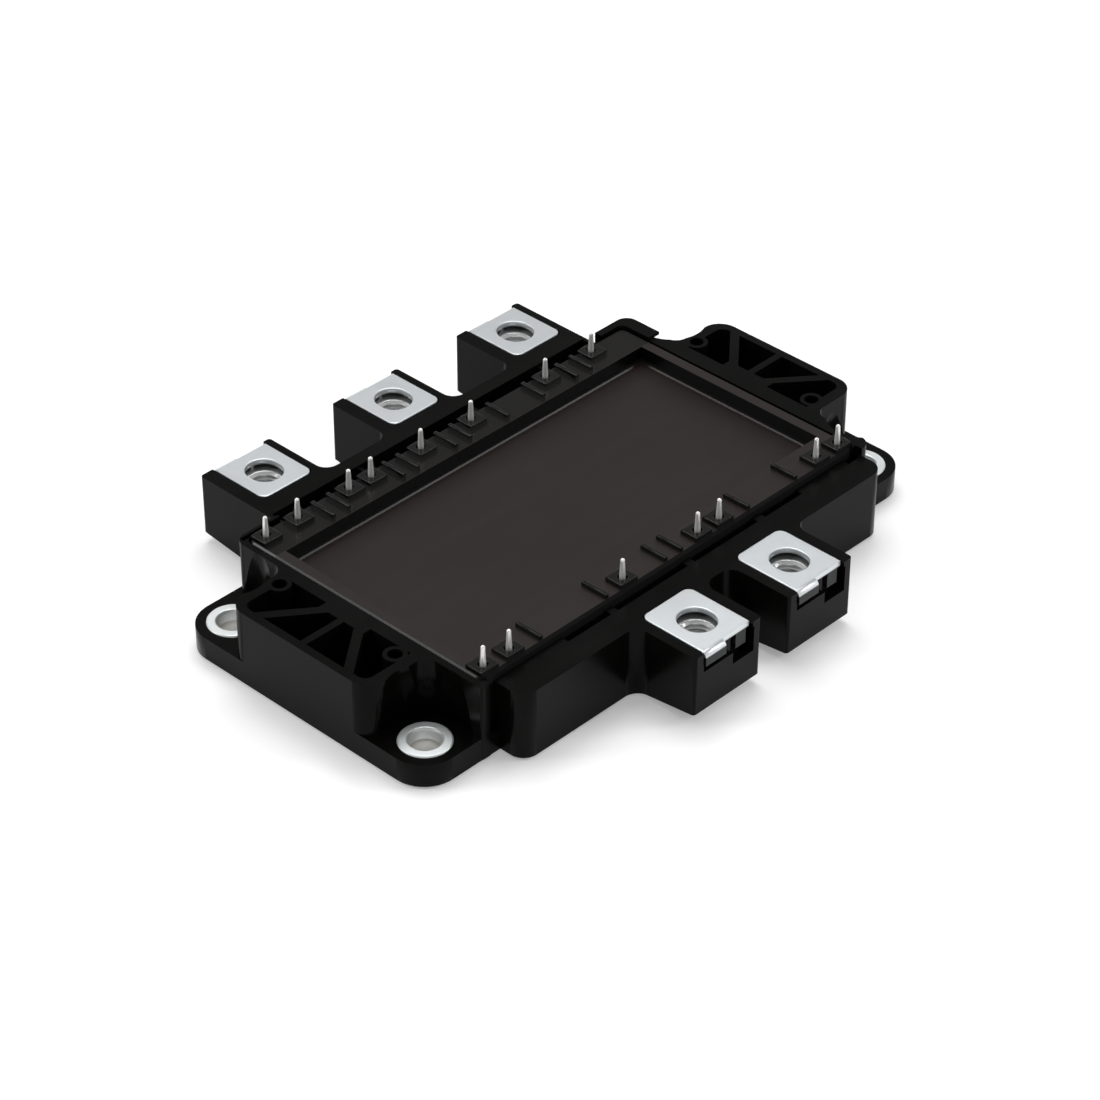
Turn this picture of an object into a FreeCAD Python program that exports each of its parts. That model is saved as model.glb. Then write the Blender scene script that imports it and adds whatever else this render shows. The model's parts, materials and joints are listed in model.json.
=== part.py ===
import FreeCAD, Part
import math
import os
from types import SimpleNamespace

from FreeCAD import Vector

# IGBT power module. X runs along the module, +Y is the side with three terminals, +Z is up.
# The origin is the middle of the four mounting holes, on the underside of the baseplate.

SIZES = {
    # Mounting base
    "base_length": 123.1,
    "base_width": 59.2,
    "base_corner_radius": 6.4,
    "skirt_rise": 0.4,
    "skirt_wall": 1.0,
    "flange_top": 4.9,
    "baseplate_thickness": 3.0,
    "baseplate_clearance": 0.1,
    # Mounting bushings
    "mount_inset_x": 6.55,
    "mount_inset_y": 6.4,
    "mount_bore": 5.5,
    "bushing_diameter": 9.33,
    "bushing_top": 5.2,
    "bushing_chamfer": 0.45,
    # Frame and end blocks
    "deck_top": 15.3,
    "end_block_left": 13.15,
    "end_block_right": 11.65,
    "frame_wall_side": 1.6,
    "frame_corner_radius": 2.4,
    "frame_near_right_radius": 2.6,
    "end_block_half_width": 17.0,
    "end_block_near_right": 16.2,
    "end_block_corner_radius": 3.8,
    "niche_fillet": 2.6,
    "niche_foot_radius": 8.0,
    "niche_top_radius": 6.7,
    "rim_top": 15.9,
    "rim_length": 8.5,
    "rim_notch": 21.4,
    # Cells, ribs and screw bosses of the end blocks
    "cell_outer_wall": 1.6,
    "cell_end_wall": 2.3,
    "cell_wall_left": 1.3,
    "cell_wall_right": 0.5,
    "cell_floor": 5.6,
    "cell_rib": 1.4,
    "cell_rib_slope": 1.6,
    "cell_inner_wall": 1.7,
    "cell_outer_radius": 1.8,
    "cell_rib_inner": 5.3,
    "cell_rib_outer": 11.9,
    "cell_shift_right": 0.8,
    "boss_inset_left": 9.95,
    "boss_inset_right": 8.65,
    "boss_far": 14.75,
    "boss_near": 13.0,
    "boss_diameter": 4.2,
    "boss_bore": 2.6,
    "boss_bore_depth": 8.0,
    # Inner cavity and lid seat
    "lid_bearing_end": 1.0,
    "lid_bearing_side": 1.2,
    "ledge_top": 6.5,
    "ledge_depth": 3.3,
    "lid_seat_clearance": 0.1,
    # Lid
    "lid_gap_left": 1.4,
    "lid_width": 56.2,
    "lid_thickness": 2.0,
    "lid_corner_radius": 1.4,
    "lid_chamfer": 0.5,
    "recess_margin_end": 2.5,
    "recess_margin_far": 7.2,
    "recess_margin_near": 6.5,
    "recess_depth": 3.1,
    "recess_wall": 1.2,
    "recess_floor": 1.8,
    "recess_foot": 0.6,
    "pin_pad_side": 4.0,
    "pin_pad_height": 0.45,
    "pin_hole_diameter": 1.9,
    "rib_height": 0.45,
    "rib_width": 0.7,
    "rib_length": 5.5,
    "rib_inset": 0.6,
    # Contact pins
    "pin_inset": 0.9,
    "pin_diameter": 1.1,
    "pin_tip_chamfer": 0.22,
    "pin_top": 19.9,
    "pin_foot_length": 1.9,
    "pin_foot_thickness": 0.6,
    # Terminal shelves
    "shelf_top": 13.8,
    "shelf_edge": 35.0,
    "near_shelf_inset_left": 4.3,
    "near_shelf_inset_right": 2.8,
    "shelf_corner_radius": 3.0,
    "pillar_width": 2.0,
    "pillar_corner_radius": 0.4,
    "trench_width": 3.9,
    "trench_floor": 7.4,
    "corner_trench_width": 0.9,
    "trench_rib": 0.8,
    "trench_rib_drop": 0.6,
    "rib_root": 0.2,
    "trench_skin": 0.9,
    "near_slot_width": 1.5,
    "end_slot_inset": 3.4,
    "end_slot_length": 3.0,
    # Terminal blocks
    "block_half_width": 8.2,
    "far_block_shift": -0.7,
    "block_end_near": 48.1,
    "block_end_far": 49.7,
    "block_fillet": 2.6,
    "block_corner_radius": 0.6,
    "block_underside_rise": 1.6,
    # Terminals
    "plate_width": 11.7,
    "plate_thickness": 1.0,
    "plate_corner_radius": 1.5,
    "plate_gap": 0.2,
    "plate_start_near": 33.8,
    "plate_start_far": 36.6,
    "plate_hole_near": 41.05,
    "plate_hole_far": 42.85,
    "plate_hole_width": 6.5,
    "plate_hole_length": 7.2,
    "tab_length": 2.6,
    "tab_width": 5.0,
    "tab_proud": 0.3,
    "plate_root": 0.2,
    "bend_radius": 1.2,
    "lug_offset": 3.85,
    "lug_width": 2.5,
    "lug_length": 4.0,
    "leg_width": 8.0,
    "foot_inset": 0.6,
    # Nuts and their wells
    "nut_across_flats": 10.0,
    "nut_height": 5.0,
    "nut_bore": 5.0,
    "nut_drop": 1.0,
    "nut_clearance": 0.1,
    "screw_well_across": 6.8,
    "screw_well_floor": 3.4,
    "socket_width": 5.2,
    "socket_depth": 2.0,
    "socket_floor": 7.7,
    "tab_slot_height": 1.2,
    # Terminal and pin places along the module
    "terminal_far_left": -29.35,
    "terminal_far_middle": 2.24,
    "terminal_far_right": 33.78,
    "terminal_near_left": -9.05,
    "terminal_near_right": 14.4,
    # Gel layer over the chips
    "gel_top": 8.4,
    "gel_gap": 0.05,
    # Power substrates and chips
    "substrate_gap": 2.0,
    "substrate_margin_end": 2.6,
    "substrate_margin_side": 1.6,
    "ceramic_thickness": 0.7,
    "track_thickness": 0.4,
    "track_margin": 1.2,
    "track_gap": 1.0,
    "igbt_side": 9.6,
    "diode_side": 6.6,
    "chip_thickness": 0.2,
    "chip_row": 10.6,
    "igbt_offset": 6.4,
    "diode_offset": 4.6,
    "ribbon_thickness": 0.3,
    "ribbon_width": 2.0,
    "ribbon_rise": 1.6,
    "ribbon_foot": 1.4,
    "ribbon_slope": 0.3,
    "ribbon_pitch": 3.0,
    "ribbon_start": 1.5,
    "ribbon_end": 0.6,
}

TERMINALS = {
    "far": ("terminal_far_left", "terminal_far_middle", "terminal_far_right"),
    "near": ("terminal_near_left", "terminal_near_right"),
}
SIDES = {"far": 1, "near": -1}

# Pins along each row, from left to right, measured from one end of the lid or from its middle
PINS = {
    "far": (("left", 2.7), ("left", 10.1), ("middle", -24.8), ("middle", -19.5), ("middle", -7.3),
            ("middle", 5.2), ("middle", 24.3), ("right", 10.6)),
    "near": (("left", 2.7), ("left", 8.7), ("middle", -11.1), ("middle", 7.7), ("middle", 13.2),
             ("right", 8.2), ("right", 2.4)),
}

# Sides of a pin and of the hole round it
PIN_SIDES = 12

# Share of the half width that rounds the ends of a slot, so that a sliver of its side stays straight
NEARLY_ROUND = 0.999

# How far a cut runs out past the face that it opens
PAST = 1.0

# Ribs on the lid between the pins, from left to right
LID_RIBS = {
    "far": (-32.2, -28.6, -15.3, -11.9, -2.4, 1.2, 10.6, 19.8, 28.5, 32.3),
    "near": (-32.3, -16.5, -1.9, 2.0, 19.2, 31.7),
}

# Slots between the lid and the near shelf, as start and end along the module
NEAR_SLOTS = ((-28.1, -17.7), (-16.1, 1.2), (3.0, 19.3), (21.2, 30.9))

# Thin ribs across the far trench, from left to right
TRENCH_RIBS = (-17.0, 10.4, 28.6)

doc = FreeCAD.newDocument("igbt_module")


def make_sheet():
    """Spreadsheet of the driving dimensions, each with its name as alias."""
    sheet = doc.addObject("Spreadsheet::Sheet", "Sizes")
    for row, (name, number) in enumerate(SIZES.items(), start=1):
        sheet.set(f"A{row}", name)
        sheet.set(f"B{row}", str(number))
        sheet.setAlias(f"B{row}", name)
    doc.recompute()
    return SimpleNamespace(**{name: float(sheet.get(name)) for name in SIZES})


s = make_sheet()

# Places that follow from the sizes: ends of the frame, and half sizes of lid, cavity and ledge
FRAME_LEFT = s.base_length / 2 - s.end_block_left
FRAME_RIGHT = s.base_length / 2 - s.end_block_right
FRAME_SIDE = s.lid_width / 2 + s.frame_wall_side
LID_X = FRAME_LEFT - s.lid_gap_left
LID_Y = s.lid_width / 2
SEAT_X = LID_X + s.lid_seat_clearance
SEAT_Y = LID_Y + s.lid_seat_clearance
CAVITY_X = LID_X - s.lid_bearing_end
CAVITY_Y = LID_Y - s.lid_bearing_side
LEDGE_Y = CAVITY_Y - s.ledge_depth
PIN_ROW = CAVITY_Y - s.pin_inset
SUBSTRATE_LENGTH = (2 * (CAVITY_X - s.substrate_margin_end) - 2 * s.substrate_gap) / 3
SUBSTRATE_PITCH = SUBSTRATE_LENGTH + s.substrate_gap

# The same half sizes of cavity and ledge as expressions on the sheet
HALF_CAVITY = "(Sizes.base_length / 2 - Sizes.end_block_left - Sizes.lid_gap_left - Sizes.lid_bearing_end)"
CAVITY_SIDE = "(Sizes.lid_width / 2 - Sizes.lid_bearing_side)"
LEDGE_SIDE = f"({CAVITY_SIDE} - Sizes.ledge_depth)"


def pin_place(reference, distance):
    """X of a pin by its distance from the lid's left end, its middle or its right end."""
    return {"left": distance - LID_X, "middle": distance, "right": LID_X - distance}[reference]


# Outlines

def outline(corners):
    """Closed outline through corners (x, y, radius): straight runs joined by tangent arcs."""
    starts, ends, arcs = [], [], []
    for index, (x, y, radius) in enumerate(corners):
        here = Vector(x, y, 0)
        before = Vector(corners[index - 1][0], corners[index - 1][1], 0)
        after = Vector(corners[(index + 1) % len(corners)][0], corners[(index + 1) % len(corners)][1], 0)
        back = (before - here).normalize()
        ahead = (after - here).normalize()
        if radius == 0:
            starts.append(here)
            ends.append(here)
            arcs.append(None)
            continue
        half_angle = back.getAngle(ahead) / 2
        reach = radius / math.tan(half_angle)
        inward = (back + ahead).normalize()
        middle = here + inward * (radius / math.sin(half_angle) - radius)
        starts.append(here + back * reach)
        ends.append(here + ahead * reach)
        arcs.append(Part.Arc(starts[-1], middle, ends[-1]))
    edges = []
    for index, arc in enumerate(arcs):
        if arc is not None:
            edges.append(arc)
        following = starts[(index + 1) % len(corners)]
        if ends[index].distanceToPoint(following) > 1e-6:
            edges.append(Part.LineSegment(ends[index], following))
    return edges


def rectangle(x_low, x_high, y_low, y_high, radius=0):
    """Rectangle with equal corner radii."""
    return outline([(x_low, y_low, radius), (x_high, y_low, radius),
                    (x_high, y_high, radius), (x_low, y_high, radius)])


def circle(x, y, diameter):
    """One full circle as an outline."""
    return [Part.Circle(Vector(x, y, 0), Vector(0, 0, 1), diameter / 2)]


def polygon(x, y, across_flats, sides=6):
    """Regular polygon with two flats facing +X and -X."""
    half_step = math.pi / sides
    radius = across_flats / 2 / math.cos(half_step)
    angles = [half_step * (2 * turn + 1) for turn in range(sides)]
    return outline([(x + radius * math.cos(a), y + radius * math.sin(a), 0) for a in angles])


# Features

def new_body(label):
    """Body whose label is the name of its sub-part."""
    body = doc.addObject("PartDesign::Body", label)
    body.Label = label
    return body


def add_sketch(body, name, plane, level, loops):
    """Sketch on one of the body's own planes, lifted to a level from the sheet."""
    sketch = body.newObject("Sketcher::SketchObject", name)
    planes = [item for item in body.Origin.OriginFeatures if item.Role == plane]
    sketch.AttachmentSupport = (planes[0], [""])
    sketch.MapMode = "FlatFace"
    sketch.setExpression("AttachmentOffset.Base.z", level)
    for loop in loops:
        sketch.addGeometry(loop, False)
    return sketch


def pad(body, name, level, height, loops, plane="XY_Plane"):
    """Material from a level upwards."""
    feature = body.newObject("PartDesign::Pad", name)
    feature.Profile = add_sketch(body, name + "_sketch", plane, level, loops)
    feature.setExpression("Length", height)
    return feature


def pocket(body, name, level, depth, loops, plane="XY_Plane"):
    """Hollow from a level downwards."""
    feature = body.newObject("PartDesign::Pocket", name)
    feature.Profile = add_sketch(body, name + "_sketch", plane, level, loops)
    feature.setExpression("Length", depth)
    return feature


def revolve(body, name, loops):
    """Full turn of a profile in the XZ plane about the Z axis."""
    feature = body.newObject("PartDesign::Revolution", name)
    sketch = add_sketch(body, name + "_sketch", "XZ_Plane", "0", loops)
    feature.Profile = sketch
    feature.ReferenceAxis = (sketch, ["V_Axis"])
    feature.Angle = 360
    return feature


def slope_edges(body, name, feature, level, size):
    """Chamfer on every edge of a feature that lies flat at one level."""
    doc.recompute()
    edges = [f"Edge{number}" for number, edge in enumerate(feature.Shape.Edges, start=1)
             if abs(edge.BoundBox.ZMin - level) < 1e-4 and abs(edge.BoundBox.ZMax - level) < 1e-4]
    chamfer = body.newObject("PartDesign::Chamfer", name)
    chamfer.Base = (feature, edges)
    chamfer.setExpression("Size", size)
    return chamfer


def place(body, x="0", y="0", z="0"):
    """Placement of a sub-part, bound to the sheet."""
    for axis, text in zip("xyz", (x, y, z)):
        body.setExpression(f"Placement.Base.{axis}", text)


# Places that several sub-parts share

def mounting_places():
    """Centres of the four mounting holes."""
    reach_x = s.base_length / 2 - s.mount_inset_x
    reach_y = s.base_width / 2 - s.mount_inset_y
    return [(x * reach_x, y * reach_y) for x in (-1, 1) for y in (-1, 1)]


def at_mount(x_sign, y_sign):
    """Place of one mounting hole as two expressions on the sheet."""
    return (f"{x_sign} * (Sizes.base_length / 2 - Sizes.mount_inset_x)",
            f"{y_sign} * (Sizes.base_width / 2 - Sizes.mount_inset_y)")


# Housing

def block_sides(name):
    """Low and high X of one terminal block. The far blocks stand a little left of their plates."""
    middle = getattr(s, name) + (s.far_block_shift if name in TERMINALS["far"] else 0)
    return middle - s.block_half_width, middle + s.block_half_width


def deck_outline():
    """Frame with both end blocks, seen from above; the near side stops at the lid's seat."""
    end = s.base_length / 2
    far_left = block_sides("terminal_far_left")[0]
    half = s.end_block_half_width
    seat = SEAT_Y
    side = FRAME_SIDE
    rim_start = FRAME_RIGHT - s.rim_length
    near_right = FRAME_RIGHT - s.near_shelf_inset_right
    pillar_edge = FRAME_LEFT - s.pillar_width
    corner = s.frame_corner_radius
    return outline([
        (-end, half, s.end_block_corner_radius),
        (-FRAME_LEFT, half, s.niche_fillet),
        (-FRAME_LEFT, side, corner),
        (far_left, side, 0),
        (far_left, seat, 0),
        (rim_start, seat, 0),
        (rim_start, side, 0),
        (FRAME_RIGHT, side, corner),
        (FRAME_RIGHT, half, s.niche_fillet),
        (end, half, s.end_block_corner_radius),
        (end, -s.end_block_near_right, s.end_block_corner_radius),
        (FRAME_RIGHT, -s.end_block_near_right, s.niche_fillet),
        (FRAME_RIGHT, -side, s.frame_near_right_radius),
        (near_right, -side, 0),
        (near_right, -seat, 0),
        (-pillar_edge, -seat, 0),
        (-pillar_edge, -side, 0),
        (-FRAME_LEFT, -side, s.pillar_corner_radius),
        (-FRAME_LEFT, -half, s.niche_fillet),
        (-end, -half, s.end_block_corner_radius),
    ])


def shelf_outline(side, left, right):
    """Terminal shelf and its terminal blocks, seen from above. An outer block may end flush with it."""
    sign = SIDES[side]
    inner = sign * SEAT_Y
    edge = sign * s.shelf_edge
    block_end = sign * (s.block_end_far if side == "far" else s.block_end_near)
    blocks = [block_sides(name) for name in TERMINALS[side]]
    corners = [(left, inner, 0)]
    if left < blocks[0][0]:
        corners.append((left, edge, s.shelf_corner_radius))
    for low, high in blocks:
        if low > left:
            corners.append((low, edge, s.block_fillet))
        corners += [(low, block_end, s.block_corner_radius), (high, block_end, s.block_corner_radius)]
        if high < right:
            corners.append((high, edge, s.block_fillet))
    if right > blocks[-1][1]:
        corners.append((right, edge, s.shelf_corner_radius))
    corners.append((right, inner, 0))
    return outline(corners)


def cell_outlines(end):
    """Four cells of one end block between its W-shaped ribs."""
    sign = -1 if end == "left" else 1
    outer = sign * (s.base_length / 2 - s.cell_outer_wall)
    inner = sign * (FRAME_LEFT + s.cell_wall_left if end == "left" else FRAME_RIGHT + s.cell_wall_right)
    tip = outer - sign * s.cell_rib
    reach = s.end_block_half_width - s.cell_end_wall
    slope = s.cell_rib * s.cell_rib_slope
    shift = 0 if end == "left" else s.cell_shift_right
    wall = inner + sign * s.cell_inner_wall
    loops = []
    for half in (1, -1):
        # Outer cell, which holds the screw boss
        far_side = half * reach if end == "left" or half == 1 else s.cell_end_wall - s.end_block_near_right
        loops.append(outline([
            (outer, half * s.cell_rib_outer + shift, 0),
            (outer, far_side, s.cell_outer_radius),
            (inner, far_side, 0),
            (inner, half * s.cell_rib_inner + shift, 0),
            (wall, half * s.cell_rib_inner + shift, 0),
        ]))
        # Inner cell, against the middle rib
        loops.append(outline([
            (outer, half * s.cell_rib / 2 + shift, 0),
            (outer, half * (s.cell_rib_outer - slope) + shift, 0),
            (wall, half * (s.cell_rib_inner - slope) + shift, 0),
            (wall, half * s.cell_rib / 2 + shift, 0),
        ]))
    return loops


def housing_moulding():
    """The black moulding before its inserts are cut out."""
    body = new_body("housing_moulding")
    half_length = s.base_length / 2
    half_width = s.base_width / 2
    rim_start = FRAME_RIGHT - s.rim_length
    rise = "Sizes.skirt_rise"

    pad(body, "flange", rise, "Sizes.flange_top - Sizes.skirt_rise",
        [rectangle(-half_length, half_length, -half_width, half_width, s.base_corner_radius)])
    pad(body, "deck", rise, "Sizes.deck_top - Sizes.skirt_rise", [deck_outline()])
    pad(body, "near_shelf", rise, "Sizes.shelf_top - Sizes.skirt_rise",
        [shelf_outline("near", s.near_shelf_inset_left - FRAME_LEFT, FRAME_RIGHT - s.near_shelf_inset_right)])
    far_left = block_sides("terminal_far_left")[0]
    far_right = block_sides("terminal_far_right")[1]
    pad(body, "far_shelf", rise, "Sizes.shelf_top - Sizes.skirt_rise",
        [shelf_outline("far", far_left, far_right)])

    # Raised rim at the far right corner
    pad(body, "far_rim", "Sizes.deck_top", "Sizes.rim_top - Sizes.deck_top",
        [outline([(rim_start, SEAT_Y, 0), (rim_start, FRAME_SIDE, 0),
                  (FRAME_RIGHT, FRAME_SIDE, s.frame_corner_radius), (FRAME_RIGHT, s.rim_notch, 0),
                  (SEAT_X, s.rim_notch, 0), (SEAT_X, SEAT_Y, s.lid_corner_radius)])])

    # Rising underside of the terminal blocks
    for side, sign in SIDES.items():
        block_end = s.block_end_far if side == "far" else s.block_end_near
        run = block_end - s.shelf_edge
        far_out = block_end + PAST
        far_level = s.skirt_rise + s.block_underside_rise * (far_out - s.shelf_edge) / run
        wedge = outline([(sign * s.shelf_edge, s.skirt_rise, 0), (sign * far_out, far_level, 0),
                         (sign * far_out, s.skirt_rise - PAST, 0),
                         (sign * s.shelf_edge, s.skirt_rise - PAST, 0)])
        pocket(body, side + "_underside", "Sizes.base_length / 2", "Sizes.base_length", [wedge], "YZ_Plane")

    # Lid seat, cavity and baseplate recess
    pocket(body, "lid_seat", "Sizes.rim_top", "Sizes.rim_top - Sizes.deck_top + Sizes.lid_thickness",
           [rectangle(-SEAT_X, SEAT_X, -SEAT_Y, SEAT_Y, s.lid_corner_radius)])
    pocket(body, "cavity", "Sizes.deck_top", "Sizes.deck_top - Sizes.ledge_top",
           [rectangle(-CAVITY_X, CAVITY_X, -CAVITY_Y, CAVITY_Y)])
    pocket(body, "window", "Sizes.ledge_top", "Sizes.ledge_top",
           [rectangle(-CAVITY_X, CAVITY_X, -LEDGE_Y, LEDGE_Y)])
    wall = s.skirt_wall
    pocket(body, "baseplate_recess", "Sizes.baseplate_thickness", "Sizes.baseplate_thickness",
           [rectangle(-half_length + wall, half_length - wall, -half_width + wall, half_width - wall,
                      s.base_corner_radius - wall)])

    # Trench behind the lid, narrow at the left corner, and the slots before it
    trench_low = SEAT_Y
    trench_high = SEAT_Y + s.trench_width
    trench_end = rim_start - s.trench_rib
    skin_left = s.trench_skin - FRAME_LEFT
    pocket(body, "trench", "Sizes.deck_top", "Sizes.deck_top - Sizes.trench_floor",
           [outline([(skin_left, trench_low, 0), (trench_end, trench_low, 0),
                     (trench_end, trench_high, 0), (far_left + s.trench_rib, trench_high, 0),
                     (far_left + s.trench_rib, trench_low + s.corner_trench_width, 0),
                     (skin_left, trench_low + s.corner_trench_width, 0)])])
    pad(body, "trench_ribs", "Sizes.trench_floor",
        "Sizes.shelf_top - Sizes.trench_floor - Sizes.trench_rib_drop",
        [rectangle(x, x + s.trench_rib, trench_low - s.rib_root, trench_high + s.rib_root)
         for x in TRENCH_RIBS])
    end_slot = LID_X - s.end_slot_inset
    pocket(body, "near_slots", "Sizes.shelf_top", "Sizes.shelf_top - Sizes.trench_floor",
           [rectangle(low, high, -SEAT_Y - s.near_slot_width, -SEAT_Y)
            for low, high in NEAR_SLOTS + ((end_slot, end_slot + s.end_slot_length),)])

    # Cells and screw bosses of the end blocks
    cells = cell_outlines("left") + cell_outlines("right")
    pocket(body, "cells", "Sizes.deck_top", "Sizes.deck_top - Sizes.cell_floor", cells)
    bosses = [(x, y) for x in (s.boss_inset_left - half_length, half_length - s.boss_inset_right)
              for y in (-s.boss_near, s.boss_far)]
    pad(body, "bosses", "Sizes.cell_floor", "Sizes.deck_top - Sizes.cell_floor",
        [circle(x, y, s.boss_diameter) for x, y in bosses])
    pocket(body, "boss_bores", "Sizes.deck_top", "Sizes.boss_bore_depth",
           [circle(x, y, s.boss_bore) for x, y in bosses])

    # Terminal seats: plate recess, nut well, screw well and the openings in the outer face
    for side, names in TERMINALS.items():
        sign = SIDES[side]
        block_end = s.block_end_far if side == "far" else s.block_end_near
        start = s.plate_start_far if side == "far" else s.plate_start_near
        hole = s.plate_hole_far if side == "far" else s.plate_hole_near
        reach = s.plate_width / 2 + s.plate_gap
        places = [getattr(s, name) for name in names]
        inner_end = sign * (start - s.plate_gap)
        beyond = sign * (block_end + PAST)
        recess = [outline([
            (x - reach, beyond, 0), (x - reach, inner_end, s.plate_corner_radius),
            (x + reach, inner_end, s.plate_corner_radius), (x + reach, beyond, 0),
        ]) for x in places]
        pocket(body, side + "_plate_recess", "Sizes.shelf_top", "Sizes.plate_thickness", recess)
        pocket(body, side + "_nut_wells", "Sizes.shelf_top",
               "Sizes.plate_thickness + Sizes.nut_drop + Sizes.nut_height",
               [polygon(x, sign * hole, s.nut_across_flats + s.nut_clearance) for x in places])
        pocket(body, side + "_screw_wells", "Sizes.shelf_top", "Sizes.shelf_top - Sizes.screw_well_floor",
               [polygon(x, sign * hole, s.screw_well_across) for x in places])
        face = sign * (block_end + s.tab_proud - s.plate_thickness)
        tab_slot = [rectangle(x - reach, x + s.lug_offset, *sorted((face, beyond))) for x in places]
        pocket(body, side + "_tab_slots", "Sizes.shelf_top",
               "Sizes.tab_length + Sizes.tab_slot_height", tab_slot)
        half_socket = s.socket_width / 2
        socket_back = sign * (block_end - s.socket_depth)
        sockets = [rectangle(x + s.lug_offset - half_socket, x + s.lug_offset + half_socket,
                             *sorted((socket_back, beyond))) for x in places]
        pocket(body, side + "_sockets", "Sizes.shelf_top - Sizes.plate_thickness",
               "Sizes.shelf_top - Sizes.plate_thickness - Sizes.socket_floor", sockets)

    pocket(body, "bushing_seats", "Sizes.flange_top", "Sizes.flange_top",
           [circle(x, y, s.bushing_diameter) for x, y in mounting_places()])
    return body


def niche_cone(x_sign, y_sign):
    """Cone about one mounting hole that clears the screw head and its driver."""
    cone = doc.addObject("Part::Cone", "niche_cone")
    cone.setExpression("Radius1", "Sizes.niche_foot_radius")
    cone.setExpression("Radius2", "Sizes.niche_top_radius")
    cone.setExpression("Height", "Sizes.deck_top - Sizes.flange_top")
    place(cone, *at_mount(x_sign, y_sign), "Sizes.flange_top")
    return cone


def housing(terminals):
    """Moulding with the screw niches opened and the terminals moulded in."""
    tools = [niche_cone(x, y) for x in (-1, 1) for y in (-1, 1)]
    cutter = doc.addObject("Part::MultiFuse", "housing_cutters")
    cutter.Shapes = tools + terminals
    cut = doc.addObject("Part::Cut", "housing")
    cut.Base = housing_moulding()
    cut.Tool = cutter
    cut.Label = "housing"
    return cut


# Lid

def lid():
    """Cover with a shallow recess, pin pads, ribs and pin holes."""
    body = new_body("lid")
    half_x = LID_X
    half_y = LID_Y
    recess_x = half_x - s.recess_margin_end
    recess_far = half_y - s.recess_margin_far
    recess_near = half_y - s.recess_margin_near
    under = "Sizes.deck_top - Sizes.lid_thickness"
    wall = s.recess_wall
    plate = pad(body, "lid_plate", under, "Sizes.lid_thickness",
                [rectangle(-half_x, half_x, -half_y, half_y, s.lid_corner_radius)])
    slope_edges(body, "rim_chamfer", plate, s.deck_top, "Sizes.lid_chamfer")
    pad(body, "tray", "Sizes.deck_top - Sizes.recess_depth - Sizes.recess_floor",
        "Sizes.recess_depth + Sizes.recess_floor - Sizes.lid_thickness",
        [rectangle(-recess_x - wall, recess_x + wall, -recess_near - wall, recess_far + wall)])
    recess = pocket(body, "recess", "Sizes.deck_top", "Sizes.recess_depth",
                    [rectangle(-recess_x, recess_x, -recess_near, recess_far)])
    slope_edges(body, "recess_foot", recess, s.deck_top - s.recess_depth, "Sizes.recess_foot")
    pads, holes, ribs = [], [], []
    for side, sign in SIDES.items():
        reach = s.pin_pad_side / 2
        for x in [pin_place(*spot) for spot in PINS[side]]:
            y = sign * PIN_ROW
            low, high = sorted((y - sign * reach, sign * (half_y - s.lid_chamfer)))
            left = max(x - reach, -half_x + s.lid_chamfer)
            right = min(x + reach, half_x - s.lid_chamfer)
            pads.append(rectangle(left, right, low, high))
            holes.append(polygon(x, y, s.pin_hole_diameter, PIN_SIDES))
        rib_end = half_y - s.rib_inset
        low, high = sorted((sign * (rib_end - s.rib_length), sign * rib_end))
        ribs += [rectangle(x - s.rib_width / 2, x + s.rib_width / 2, low, high) for x in LID_RIBS[side]]
    pad(body, "pin_pads", "Sizes.deck_top", "Sizes.pin_pad_height", pads)
    pad(body, "ribs", "Sizes.deck_top", "Sizes.rib_height", ribs)
    pocket(body, "pin_holes", "Sizes.deck_top + Sizes.pin_pad_height",
           "Sizes.lid_thickness + Sizes.pin_pad_height", holes)
    return body


# Baseplate and bushings

def baseplate():
    """Copper plate that carries the substrates and the heat."""
    body = new_body("baseplate")
    inset = s.skirt_wall + s.baseplate_clearance
    half_x = s.base_length / 2 - inset
    half_y = s.base_width / 2 - inset
    pad(body, "plate", "0", "Sizes.baseplate_thickness",
        [rectangle(-half_x, half_x, -half_y, half_y, s.base_corner_radius - inset)]
        + [circle(x, y, s.mount_bore) for x, y in mounting_places()])
    return body


def bushing(label, x_sign, y_sign):
    """Steel ring on the baseplate, which takes the clamping force of one mounting screw."""
    body = new_body(label)
    bore = s.mount_bore / 2
    rim = s.bushing_diameter / 2
    revolve(body, "ring", [outline([
        (bore, s.baseplate_thickness, 0), (rim, s.baseplate_thickness, 0), (rim, s.bushing_top, 0),
        (bore + s.bushing_chamfer, s.bushing_top, 0), (bore, s.bushing_top - s.bushing_chamfer, 0),
    ])])
    place(body, *at_mount(x_sign, y_sign))
    return body


# Terminals, nuts and pins

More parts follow.
